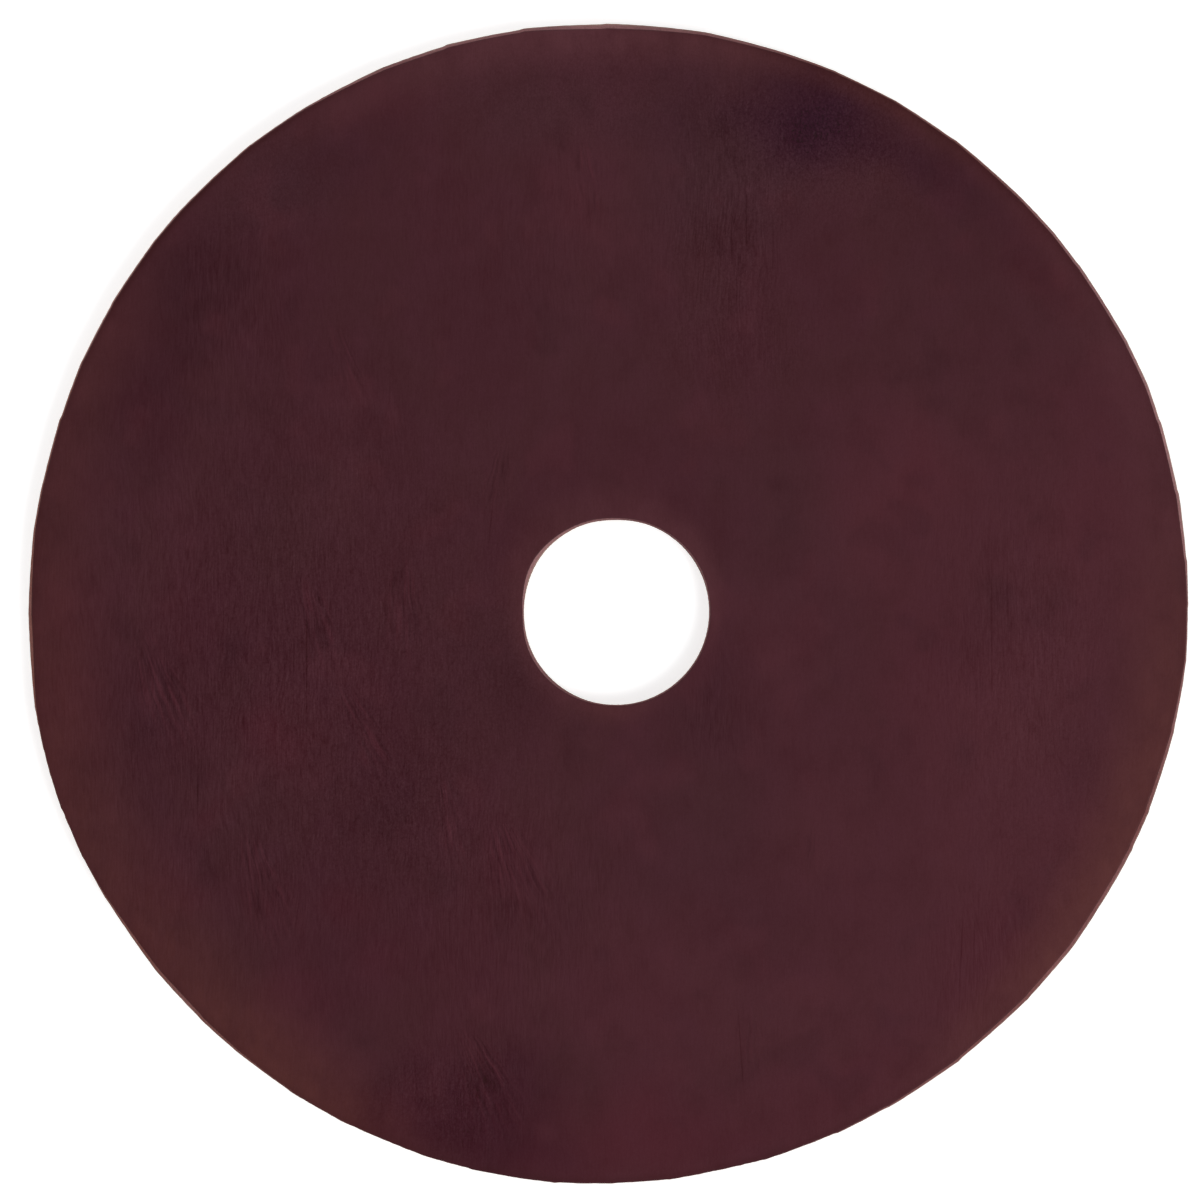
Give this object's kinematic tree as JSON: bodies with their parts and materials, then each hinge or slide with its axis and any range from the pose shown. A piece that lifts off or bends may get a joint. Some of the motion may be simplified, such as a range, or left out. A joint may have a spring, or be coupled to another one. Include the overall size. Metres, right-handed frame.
{
  "type": "leather polishing disc",
  "caption": "Flat round leather polishing disc with a centre hole, on an adhesive backing covered by a peel-off paper liner, for a horizontal lap.",
  "frame": {"origin": "centre of the hole, on the underside of the release liner", "axes": "+Z along the hole and through the layers, out of the grain face; the outline's centre lies towards -X and +Y of the hole's"},
  "size_m": [0.1524, 0.1524, 0.0034],
  "materials": {
    "leather": "smooth oxblood grain face, matte, with paler raw cut edges",
    "adhesive": "clear amber pressure-sensitive film, glossy and tacky",
    "liner": "siliconed kraft paper, faint sheen"
  },
  "bodies": {
    "liner": {"release_liner": "liner"},
    "pad": {"leather_disc": "leather", "adhesive_film": "adhesive"}
  },
  "joints": [
    {"name": "pad_lift", "type": "slide", "parent": "liner", "child": "pad", "axis": [0, 0, 1], "range_m": [0, 0.05]}
  ]
}
